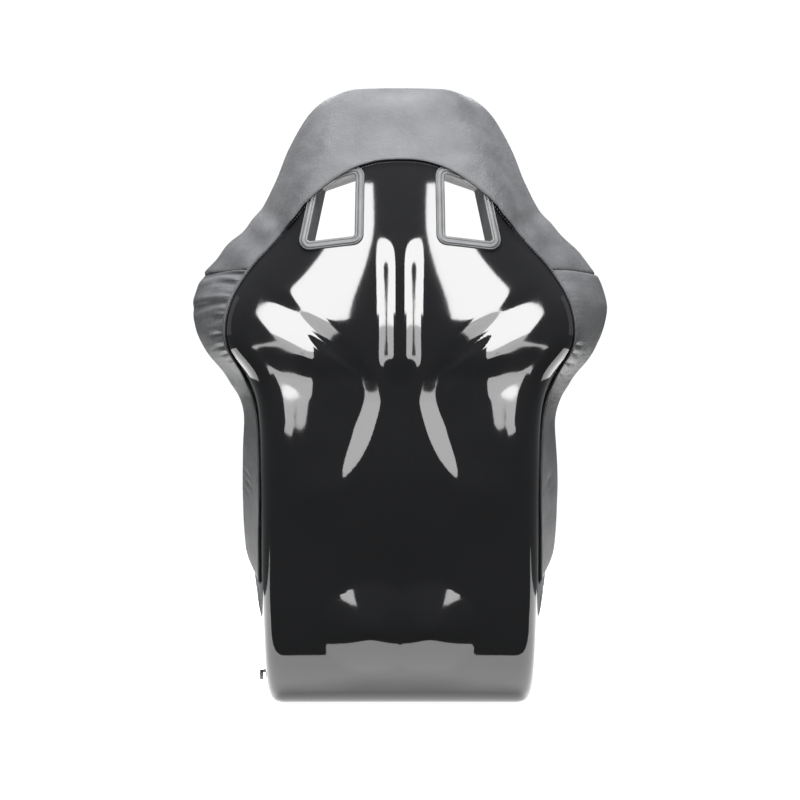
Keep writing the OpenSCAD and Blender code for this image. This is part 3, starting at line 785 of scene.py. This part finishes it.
def build_head():
    """Head cover: a smooth rear panel, a band round the rim and the padded front."""
    n, m, k = 90, 141, 16
    v = np.linspace(-1, 1, m)
    us = np.sign(v) * np.abs(v)**0.92
    ts = T_SEAM + (T_HEAD_TOP - T_SEAM) * np.linspace(0, 1, n)
    s = ((ts - T_SEAM) / (T_HEAD_TOP - T_SEAM))[:, None]
    u = np.repeat(us[None, :], n, 0)
    low = head_low(us)[None, :]
    t_rear = low + (T_HEAD_TOP - low) * s
    h_rear = head_rear_height(t_rear, u, s)
    groove = 0.9 * (np.exp(-((np.abs(u) - RIM_SEAM) / 0.008)**2) + np.exp(-((t_rear - 21.12) / 0.035)**2))
    rear = off_shell(t_rear, u, h_rear - groove)
    t_front = np.repeat(ts[:, None], m, 1)
    deep = (HEAD_FOAM + GAP + COVER) * head_fade(t_front)
    belly = 4.0 * np.cos(u * math.pi / 2) * np.sin(np.clip((t_front - 15) / 6.4, 0, 1) * math.pi)
    channel = 3.2 * (np.exp(-((t_front - 18.6) / 0.05)**2) * (np.abs(u) < 0.6)
                     + np.exp(-((np.abs(u) - 0.6) / 0.012)**2) * smooth((t_front - 15.1) / 0.5))
    bottom = np.sqrt(np.clip((t_front - T_SEAM) / 0.1, 0, 1))
    front_h = SHELL_T + GAP + (deep + belly - channel) * (0.72 + 0.28 * bottom)
    front = off_shell(t_front, u, -front_h)
    # the ring of points where both faces reach the rim: up one side, over the top, down the other
    ring = [(i, m - 1) for i in range(n)] + [(n - 1, j) for j in range(m - 2, 0, -1)] \
        + [(i, 0) for i in range(n - 1, -1, -1)]
    rows = np.array([r[0] for r in ring])
    cols = np.array([r[1] for r in ring])
    rt, ru = t_front[rows, cols], u[rows, cols]
    up = unit(shell_point(rt, ru) - shell_point(rt - 0.1, ru))
    sideways = rimward(rt, np.sign(ru) + (ru == 0))
    corner = smooth((np.abs(ru) - 0.86) / 0.14)[:, None] * smooth((T_HEAD_TOP + 0.001 - rt) / 0.7)[:, None]
    on_top = (rows == n - 1)
    corner = np.where(on_top[:, None], 0.6 * smooth((np.abs(ru) - 0.9) / 0.1)[:, None], 0.6 + 0.4 * corner)
    push = unit(sideways * corner + up * (1 - corner))
    h_out, h_in = h_rear[rows, cols], front_h[rows, cols]
    past = 10 + (LAP_PAST + COVER - 10) * smooth((21.0 - rt) / 1.5)
    pucker = 0.7 * wave(rt * 30, 4.0) * np.exp(-((rt - 20.4) / 0.5)**2) * (np.abs(ru) > 0.99)
    strips = []
    for a in np.linspace(0, math.pi, k)[1:-1]:
        h, b = rim_arc(h_out, h_in, past + pucker, a)
        strips.append(shell_point(rt, ru) + h[:, None] * outward(rt, ru) + b[:, None] * push)
    points = np.concatenate([rear.reshape(-1, 3), front.reshape(-1, 3)] + strips)
    inside_slot = in_opening(front, SLEEVE_T + 4).ravel()
    front_faces = [f for f in grid_faces(n, m, n * m, True) if not any(inside_slot[i - n * m] for i in f)]
    faces = grid_faces(n, m) + front_faces
    chains = [list(rows * m + cols)]
    for i in range(k - 2):
        chains.append(list(2 * n * m + i * len(ring) + np.arange(len(ring))))
    chains.append(list(n * m + rows * m + cols))
    for a, b in zip(chains, chains[1:]):
        for i in range(len(ring) - 1):
            faces.append((a[i], a[i + 1], b[i + 1], b[i]))
    obj = solid("head_cover", points, [tuple(int(x) for x in f) for f in faces], "cover_leather")
    thick = obj.modifiers.new("thickness", "SOLIDIFY")
    thick.thickness = COVER * MM
    thick.offset = -1
    bake_modifiers(obj)
    recalc(obj)
    place(obj, "cover_leather", "head_cover_rear", "head_cover_front", "headrest_foam")


build_head()

# ---------------- hem and stitching


def hem_route(step_t=420, step_u=150):
    """Stations and places across of the hem, from the left torso over the head to the right."""
    up_t = np.linspace(T_TORSO_LOW + 0.05, T_NECK, step_t, endpoint=False)
    over_u = np.linspace(U_NECK, 0, step_u)
    t = np.concatenate([up_t, hem_t(over_u)])
    u = np.concatenate([hem_u(up_t), over_u])
    return np.concatenate([t, t[-2::-1]]), np.concatenate([u, -u[-2::-1]])


def resample(points, step):
    """Points at equal distances along a line."""
    lengths = np.concatenate([[0], np.cumsum(np.linalg.norm(np.diff(points, axis=0), axis=1))])
    at = np.arange(0, lengths[-1], step)
    return np.stack([np.interp(at, lengths, points[:, i]) for i in range(points.shape[1])], 1)


def hem_lines(beside, height):
    """A line beside the hem (positive is towards the rim), at a height off the shell."""
    t, u = hem_route()
    edge = shell_point(t, u)
    out = outward(t, u)
    run = unit(np.gradient(edge, axis=0))
    across = unit(np.cross(run, out))
    h = height + opening_lift(t, u)
    return edge + beside * across + h[:, None] * out, out


def build_hem():
    line, out = hem_lines(-1.4, GAP + 1.9)
    both = resample(np.concatenate([line, out], 1), 2.0)
    pts, ups = both[:, :3], unit(both[:, 3:])
    d = np.arange(len(pts)) * 2.0
    radius = 2.25 + 0.16 * wave(d * 1.1, 2.0)
    obj = tube("hem_binding", pts, radius, "hem_elastic", sides=12, flat=0.8, ups=ups)
    place(obj, "hem_elastic", "cover_hem")


def build_stitches(name, line, out, length=3.0, pitch=4.4, radius=0.42, lift=0.55):
    """A row of separate thread stitches."""
    both = resample(np.concatenate([line, out], 1), pitch / 4)
    parts, faces = [], []
    start = 0
    for i in range(0, len(both) - 4, 4):
        a, b = both[i, :3], both[i + 3, :3]
        b = a + unit(b - a) * length
        up = unit(both[i, 3:])
        run = unit(b - a)
        across = np.cross(run, up)
        for f, r in ((0.0, 0.35), (0.18, 0.9), (0.5, 1.0), (0.82, 0.9), (1.0, 0.35)):
            for q in range(6):
                ang = math.pi * q / 3
                rise = -0.25 + lift * math.sin(math.pi * f)
                parts.append(a + (b - a) * f + up * rise
                             + radius * r * (math.cos(ang) * across + math.sin(ang) * up))
        faces += ring_faces(5, 6, start)
        faces.append(tuple(start + q for q in range(6))[::-1])
        faces.append(tuple(start + 24 + q for q in range(6)))
        start += 30
    place(mesh_object(name, np.array(parts), faces, "hem_elastic"), "hem_elastic")


build_hem()
stitch_line, stitch_out = hem_lines(4.2, HEM_H + 0.75)
build_stitches("hem_stitching", stitch_line, stitch_out)

# ---------------- shoulder frames


def shell_heights(points_2d, side):
    """Height of the moulded shell over the opening's own plane at across, up places."""
    middle, across, up, out = opening_frame()
    t, u = np.meshgrid(np.linspace(15.4, 18.4, 40), np.linspace(0.12, 0.6, 40), indexing="ij")
    rel = moulded(t, u) - middle
    a, b, h = (rel @ across).ravel(), (rel @ up).ravel(), (rel @ out).ravel()
    near = (np.abs(a) < 75) & (np.abs(b) < 85)

    def terms(a, b):
        a, b = a / 60, b / 60
        return np.stack([a**i * b**j for i in range(5) for j in range(5 - i)], -1)

    fit = np.linalg.lstsq(terms(a[near], b[near]), h[near], rcond=None)[0]
    return terms(points_2d[..., 0], points_2d[..., 1]) @ fit


def ring_solid(name, profile, side, slot, follow):
    """A frame: profile is (how far out, height, how much it follows the shell) round the opening."""
    middle, across, up, out = opening_frame()
    rings = []
    for grow, height, keep in profile:
        ring = slot_ring(grow)
        h = height + (shell_heights(ring, side) * keep if follow else 0.0)
        p = middle + ring[:, :1] * across + ring[:, 1:] * up + np.asarray(h).reshape(-1, 1) * out
        rings.append(p * [side, 1, 1])
    grid = np.stack(rings, 0)
    return solid(name, grid, ring_faces(*grid.shape[:2], closed=True), slot)


def build_rear_frame(side, word):
    w, t = BEZEL_W - SLEEVE_T, BEZEL_T
    deep = -BEZEL_DEPTH
    lip = -GAP - SLEEVE_T
    profile = [
        (-GAP, deep, 0), (-GAP, -6, 0.5), (-GAP, GAP, 1),
        (w - 0.4, GAP, 1), (w, GAP + 0.5, 1), (w + 0.05, GAP + t - 1.2, 1), (w - 0.35, GAP + t - 0.45, 1),
        (w - 1.1, GAP + t, 1), (w - 1.7, GAP + t, 1), (w - 1.95, GAP + t - 0.5, 1),
        (w - 2.3, GAP + t - 0.5, 1), (w - 2.55, GAP + t + 0.05, 1), (w - 5.5, GAP + t + 0.3, 1),
        (1.7, GAP + t + 0.1, 1), (1.4, GAP + t - 0.6, 1), (0.7, GAP + t - 0.6, 1), (0.4, GAP + t - 0.1, 1),
        (-0.6, GAP + t - 0.1, 1), (lip + 0.35, GAP + t - 0.4, 1), (lip, GAP + t - 1.1, 1),
        (lip, -4, 0.6), (lip, -8, 0), (lip, deep + 0.5, 0), (lip + 0.4, deep, 0),
    ]
    # the rear frame's grey finish is painted light over what is black plastic
    obj = ring_solid(f"shoulder_frame_rear_{word}", profile, side, "bezel_grey", True)
    place(obj, "bezel_grey", f"shoulder_bezel_rear_{word}")


def build_front_frame(side, word):
    h = -SHELL_T - HEAD_FOAM - COVER - 3 * GAP - 3
    w = BEZEL_W - SLEEVE_T
    profile = [
        (0.2, h + 8, 0), (0.0, h + 7.6, 0), (0.0, h - BEZEL_T + 0.9, 0), (0.35, h - BEZEL_T + 0.3, 0),
        (1.0, h - BEZEL_T, 0), (3.6, h - BEZEL_T - 0.5, 0), (w - 1.6, h - BEZEL_T - 0.3, 0),
        (w - 0.5, h - BEZEL_T + 0.3, 0), (w, h - BEZEL_T + 1.1, 0), (w, h - 0.4, 0), (w - 0.4, h, 0),
        (SLEEVE_T, h, 0), (SLEEVE_T, h + 7.6, 0), (SLEEVE_T - 0.3, h + 8, 0),
    ]
    obj = ring_solid(f"shoulder_frame_front_{word}", profile, side, "bezel_black", False)
    place(obj, "bezel_black", f"shoulder_bezel_front_{word}")


for side, word in SIDES:
    build_rear_frame(side, word)
    build_front_frame(side, word)

# ---------------- pads swelled by simulation

BED = SHELL_T + GAP + 8


def vectors(items, attribute):
    flat = np.empty(len(items) * 3)
    items.foreach_get(attribute, flat)
    return flat.reshape(-1, 3)


def coordinates(mesh):
    return vectors(mesh.vertices, "co")


def normals(mesh):
    return vectors(mesh.vertex_normals, "vector")


def move_points(mesh, points):
    mesh.vertices.foreach_set("co", points.ravel())
    mesh.update()


def swell(obj, bed, cap, voxel=5.5, pressure=4.0, frames=20):
    """Meshes a pad evenly and blows it up as cloth, held where it lies on its bed."""
    even = obj.modifiers.new("even", "REMESH")
    even.mode = "VOXEL"
    even.voxel_size = voxel * MM
    even.use_smooth_shade = True
    bake_modifiers(obj)
    before = coordinates(obj.data)
    tree = KDTree(len(bed))
    for i, p in enumerate(bed):
        tree.insert(p, i)
    tree.balance()
    held = obj.vertex_groups.new(name="held")
    on_bed = [i for i, p in enumerate(before) if tree.find(p)[2] < 1.3 * voxel * MM]
    held.add(on_bed, 1.0, "REPLACE")
    cloth = obj.modifiers.new("cloth", "CLOTH")
    cloth.settings.use_pressure = True
    cloth.settings.uniform_pressure_force = pressure
    cloth.settings.effector_weights.gravity = 0
    cloth.settings.vertex_group_mass = "held"
    cloth.point_cache.frame_end = frames
    for f in range(1, frames + 1):
        bpy.context.scene.frame_set(f)
    graph = bpy.context.evaluated_depsgraph_get()
    shaped = obj.evaluated_get(graph)
    after = coordinates(shaped.data)
    moved = after - before
    far = np.linalg.norm(moved, axis=1, keepdims=True)
    obj.modifiers.clear()
    move_points(obj.data, before + moved * np.minimum(1, cap * MM / np.maximum(far, 1e-9)))
    bpy.context.scene.frame_set(1)
    obj.vertex_groups.clear()
    finer = obj.modifiers.new("finer", "SUBSURF")
    finer.levels = finer.render_levels = 1
    bake_modifiers(obj)


def press_seams(obj, away, depth, width=3.2):
    """Presses sewn seams into a pad; away gives each point's distance to the nearest seam."""
    points = coordinates(obj.data)
    d = away(points / MM, normals(obj.data))
    move_points(obj.data, points - normals(obj.data) * (depth * MM * np.exp(-(d / width)**2))[:, None])


def pad_grid(ts, us, thick, bed, crown):
    """Outer and bed grids of a pad that lies inside the shell, with ends that round down."""
    t, u = np.meshgrid(ts, us, indexing="ij")
    f = (t - ts[0]) / (ts[-1] - ts[0])
    g = u / us[-1]
    ends = arc_down(1 - np.minimum(f, 1 - f) / 0.05)
    sides = arc_down((np.abs(g) - 0.86) / 0.14)
    rise = 4 + (thick - 4) * ends * (0.3 + 0.7 * sides)
    rise = rise + crown * np.cos(g * math.pi / 2) * np.sin(f * math.pi)
    return off_shell(t, u, -(bed + rise)), off_shell(t, u, 0 * t - bed)


def along_spine(points, axis, ts):
    """Station of each point, from its place along one axis."""
    return np.interp(points[:, axis], along(STATIONS, ts)[:, axis - 1], ts)


def across_face(points, t):
    s = along(STATIONS, t)
    return U_CORNER * points[:, 0] / (s[:, 4] - s[:, 6])


def on_pad(obj, points, towards):
    """Places and directions where rays meet a pad."""
    tree = BVHTree.FromObject(obj, bpy.context.evaluated_depsgraph_get())
    ray = Vector(towards)
    hits = [tree.ray_cast(Vector(p * MM) - ray * 0.3, ray) for p in points]
    hits = [h for h in hits if h[0] is not None]
    return np.array([h[0][:] for h in hits]) / MM, np.array([h[1][:] for h in hits])


def sew_rows(name, obj, lines, towards):
    """Rows of thread laid on a pad."""
    for i, line in enumerate(lines):
        at, out = on_pad(obj, line, towards)
        build_stitches(f"{name}_{i}", at, out, length=3.4, pitch=5.2, radius=0.45, lift=0.35)


BACK_CHANNELS = range(250, 600, 58)
PANEL_U = 0.36
# Width of the face that turns a place across it into millimetres, and a distance beyond any seam
FACE_WIDTH = 330
FAR = 99


def seam_distance(seams, channels, in_panel, shown):
    """Distance to the nearest seam: long seams everywhere, channels only across the middle panel."""
    channel = np.where(in_panel, np.min(channels, axis=0), FAR)
    return np.where(shown, np.minimum(seams, channel), FAR)


def build_backrest():
    ts = np.linspace(7.3, 14.85, 90)
    us = np.linspace(-0.485, 0.485, 60)
    outer, bed = pad_grid(ts, us, BACK_FOAM - 10, BED, 3)
    points, faces = closed_between(outer, bed)
    obj = solid("backrest_pad", points, faces, "centre_fabric")
    swell(obj, bed.reshape(-1, 3) * MM, 7)

    def away(p, n):
        t = along_spine(p, 2, ts)
        u = np.abs(across_face(p, t))
        channels = [np.abs(p[:, 2] - z) for z in BACK_CHANNELS]
        return seam_distance(np.abs(u - PANEL_U) * FACE_WIDTH, channels, u < PANEL_U, n[:, 1] < -0.4)

    press_seams(obj, away, 4.2)
    place(obj, "centre_fabric", "backrest_foam", "backrest_cover")
    rows = []
    tt = np.linspace(7.7, 14.5, 160)
    s = along(STATIONS, tt)
    for edge in (PANEL_U + 0.022, -PANEL_U - 0.022):
        rows.append(np.stack([edge / U_CORNER * (s[:, 4] - s[:, 6]), s[:, 0] - 60, s[:, 1]], 1))
    sew_rows("backrest_stitching", obj, rows, (0, 1, 0))


CUSHION_CHANNELS = (-230, -180, -130, -80, -30, 20, 70)
CUSHION_PANEL = 112


def build_cushion():
    ts = np.linspace(0.15, 6.45, 110)
    us = np.linspace(-0.485, 0.485, 60)
    outer, bed = pad_grid(ts, us, CUSHION_FOAM - 12, SHELL_T + 3, 5)
    points, faces = closed_between(outer, bed)
    obj = solid("seat_cushion", points, faces, "centre_fabric")
    cut_away(obj, [make_cutter([crotch_points(3, -20), crotch_points(3, 120)])])
    swell(obj, bed.reshape(-1, 3) * MM, 8)

    def away(p, n):
        x = np.abs(p[:, 0])
        channels = [np.abs(p[:, 1] - y) for y in CUSHION_CHANNELS]
        return seam_distance(np.abs(x - CUSHION_PANEL), channels, x < CUSHION_PANEL, n[:, 2] > 0.3)

    press_seams(obj, away, 4.6)
    place(obj, "centre_fabric", "seat_cushion_foam", "seat_cushion_cover")
    y = np.linspace(-262, 118, 150)
    rows = [np.stack([np.full(150, e * (CUSHION_PANEL + 7.0)), y, np.full(150, 120.0)], 1) for e in (1, -1)]
    sew_rows("cushion_stitching", obj, rows, (0, 0, -1))
    ring = crotch_points(5, 120)
    at, _ = on_pad(obj, np.concatenate([ring, ring[:1]]), (0, 0, -1))
    binding = tube("cushion_slot_binding", resample(at, 2.0), 2.0, "cover_leather", 8)
    place(binding, "cover_leather")


def build_thigh(side, word):
    low, high = 0.12, 4.78
    ts = np.linspace(low, high, 90)
    end = (end_round(ts, low, 0.35) * end_round(-ts, -high, 0.35))[:, None]
    end = 0.12 + 0.88 * end
    f = np.linspace(0, 1, 16)[None, :]
    u_out = side * (U_THIGH_HEM + (1 - U_THIGH_HEM) * f) + 0 * ts[:, None]
    h_out = GAP + (HEM_H - GAP + RIM_FOAM * 0.8 * np.sin(np.minimum(f * 1.2, 1) * math.pi / 2)) * end
    outside = off_shell(ts[:, None], u_out, h_out)
    a = np.linspace(0, math.pi, 14)[None, 1:]
    top = GAP + (HEM_H - GAP + RIM_FOAM * 0.8) * end
    inside = SHELL_T + GAP + (WALL_FOAM - 3) * end
    hh, bb = rim_arc(top, inside, GAP + (LAP_PAST - 2) * end, a)
    rim = off_shell(ts[:, None], side * np.ones((len(ts), 13)), hh, bb)
    g = np.linspace(0, 1, 13)[None, 1:]
    u_in = side * (1 + (U_WALL - 1) * g) + 0 * ts[:, None]
    roll = arc_down((g - 0.7) / 0.3, 0.06)
    inner_face = off_shell(ts[:, None], u_in, -(SHELL_T + GAP + (WALL_FOAM - 3) * end * roll))
    outer = np.concatenate([outside, rim, inner_face], 1)
    bed = sleeve_bed(ts, side, u_out, u_in, 13)
    points, faces = closed_between(outer, bed)
    obj = solid(f"thigh_bolster_{word}", points, faces, "centre_fabric")
    swell(obj, bed.reshape(-1, 3) * MM, 4, voxel=4.5)

    def away(p, n):
        t = along_spine(p, 1, ts)
        rim_x = along(STATIONS, t)[:, 5]
        seam = np.abs(np.abs(p[:, 0]) - rim_x + 20)
        return np.where(n[:, 2] > 0.2, seam, FAR)

    press_seams(obj, away, 2.2)
    place(obj, "centre_fabric", f"thigh_bolster_foam_{word}", f"thigh_bolster_cover_{word}")
    tt = np.linspace(0.5, 4.5, 120)
    s = along(STATIONS, tt)
    row = np.stack([side * (s[:, 5] - 26), s[:, 2], s[:, 3] + 60], 1)
    sew_rows(f"thigh_stitching_{word}", obj, [row], (0, 0, -1))


build_backrest()
build_cushion()
for side, word in SIDES:
    build_thigh(side, word)

# ---------------- camera and light

CAMERA_Y, CAMERA_Z, LENS = 4.2, 0.4465, 125.8
# Soft boxes: name, width and height, distance from the middle plane, height of the centre, radiance
BOX_Y = 1.9
SOFT_BOXES = [
    ("soft_box", (0.61, 1.10), 0.655, 0.85, 22.5),
    ("soft_box_low", (0.41, 0.10), 0.755, 0.25, 22.5),
    ("soft_box_foot", (0.41, 0.20), 0.755, 0.10, 10),
]


def build_camera():
    data = bpy.data.cameras.new("camera")
    data.lens = LENS
    data.sensor_width = 36
    cam = bpy.data.objects.new("camera", data)
    cam.location = (0, CAMERA_Y, CAMERA_Z)
    cam.rotation_euler = (math.pi / 2, 0, math.pi)
    bpy.context.scene.collection.objects.link(cam)
    bpy.context.scene.camera = cam


def panel(name, x, y, z, camera, diffuse, glossy):
    """A flat stage rectangle in metres, and which rays meet it."""
    mesh = bpy.data.meshes.new(name)
    mesh.from_pydata([(x[0], y[0], z), (x[1], y[0], z), (x[1], y[1], z), (x[0], y[1], z)], [], [(0, 1, 2, 3)])
    obj = bpy.data.objects.new(name, mesh)
    bpy.context.scene.collection.objects.link(obj)
    obj.visible_camera = camera
    obj.visible_diffuse = diffuse
    obj.visible_glossy = glossy
    return obj


def emitter(name, size, location, look_at, radiance, diffuse=True, glossy=True):
    """Soft box: a glowing panel that the camera doesn't see."""
    w, h = size[0] / 2, size[1] / 2
    obj = panel(name, (-w, w), (-h, h), 0, False, diffuse, glossy)
    obj.location = location
    obj.rotation_euler = (Vector(look_at) - Vector(location)).to_track_quat("Z", "Y").to_euler()
    mat = bpy.data.materials.new(name)
    mat.use_nodes = True
    tree = mat.node_tree
    tree.nodes.clear()
    glow = tree.nodes.new("ShaderNodeEmission")
    glow.inputs["Strength"].default_value = radiance
    out = tree.nodes.new("ShaderNodeOutputMaterial")
    back = tree.nodes.new("ShaderNodeNewGeometry")
    dark = tree.nodes.new("ShaderNodeBsdfTransparent")
    mix = tree.nodes.new("ShaderNodeMixShader")
    tree.links.new(back.outputs["Backfacing"], mix.inputs[0])
    tree.links.new(glow.outputs[0], mix.inputs[1])
    tree.links.new(dark.outputs[0], mix.inputs[2])
    tree.links.new(mix.outputs[0], out.inputs[0])
    obj.data.materials.append(mat)
    obj.visible_shadow = False


def floor_panel(name, x, y, z, colour, camera, diffuse, glossy, glow):
    obj = panel(name, x, y, z, camera, diffuse, glossy)
    m = Nodes(name)
    m.set(Base_Color=m.colours(m.noise(3, 4), tuple(c * 0.985 for c in colour), colour),
          Roughness=m.ramp(m.noise(40, 3), 0.75, 0.9))
    m.set(Specular_IOR_Level=0.2, Emission_Color=(1, 1, 1, 1), Emission_Strength=glow)
    obj.data.materials.append(m.mat)
    return obj


def build_studio():
    scene = bpy.context.scene
    scene.view_settings.view_transform = "Standard"
    world = bpy.data.worlds.new("studio")
    scene.world = world
    world.use_nodes = True
    tree = world.node_tree
    tree.nodes.clear()
    path = tree.nodes.new("ShaderNodeLightPath")
    seen = tree.nodes.new("ShaderNodeBackground")
    seen.inputs["Color"].default_value = (1, 1, 1, 1)
    seen.inputs["Strength"].default_value = 1.05
    fill = tree.nodes.new("ShaderNodeBackground")
    fill.inputs["Color"].default_value = (0.95, 0.98, 1.0, 1)
    fill.inputs["Strength"].default_value = 0.26
    mix = tree.nodes.new("ShaderNodeMixShader")
    out = tree.nodes.new("ShaderNodeOutputWorld")
    tree.links.new(path.outputs["Is Camera Ray"], mix.inputs[0])
    tree.links.new(fill.outputs[0], mix.inputs[1])
    tree.links.new(seen.outputs[0], mix.inputs[2])
    tree.links.new(mix.outputs[0], out.inputs[0])
    # the soft boxes between the camera and the seat light only what is glossy
    for side in (1, -1):
        for name, size, x, z, radiance in SOFT_BOXES:
            emitter(name, size, (side * x, BOX_Y, z), (side * x, 0, z), radiance, diffuse=False)
        emitter("lit_floor", (0.41, 0.36), (side * 0.755, 1.72, 0.0), (side * 0.755, 1.72, 1.0), 9.5,
                diffuse=False)
    emitter("top_light", (1.8, 1.0), (0, 1.0, 2.2), (0, 0.2, 0.7), 48, glossy=False)
    emitter("front_light", (2.4, 1.6), (0, -2.8, 1.9), (0, 0, 0.4), 5)
    for side, word in SIDES:
        emitter(f"side_light_{word}", (1.6, 1.6), (side * 2.4, -0.3, 1.0), (0, 0, 0.5), 0.8)
    pale = (0.86, 0.86, 0.85)
    floor_panel("floor", (-6, 6), (-6, 6), -0.0006, pale, True, False, False, 0.8)
    near = floor_panel("floor_near", (-1.2, 1.2), (-1.5, 0.27), -0.0004, pale, False, False, True, 1.5)
    near.visible_shadow = False


build_camera()
build_studio()

# every CAD node that still shows gets its own finish
SLOT_OF = {
    "mount_plate": "steel", "mount_insert": "steel", "mount_bolt": "bolt_black", "mount_washer": "steel",
    "shoulder_bezel_rear": "bezel_grey", "shoulder_bezel_front": "bezel_black", "crotch_slot": "bezel_black",
    "cushion_hook": "hook_and_loop", "seat_cushion_cover": "centre_fabric", "backrest_cover": "centre_fabric",
    "thigh_bolster_cover": "centre_fabric", "head_cover": "cover_leather", "wing_cover": "cover_leather",
    "cover_hem": "hem_elastic",
}


def finish_of(name):
    for start, slot in SLOT_OF.items():
        if name.startswith(start):
            return slot
    return "foam_yellow"


for name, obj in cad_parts.items():
    obj.data.materials.clear()
    obj.data.materials.append(MATERIALS[finish_of(name)])
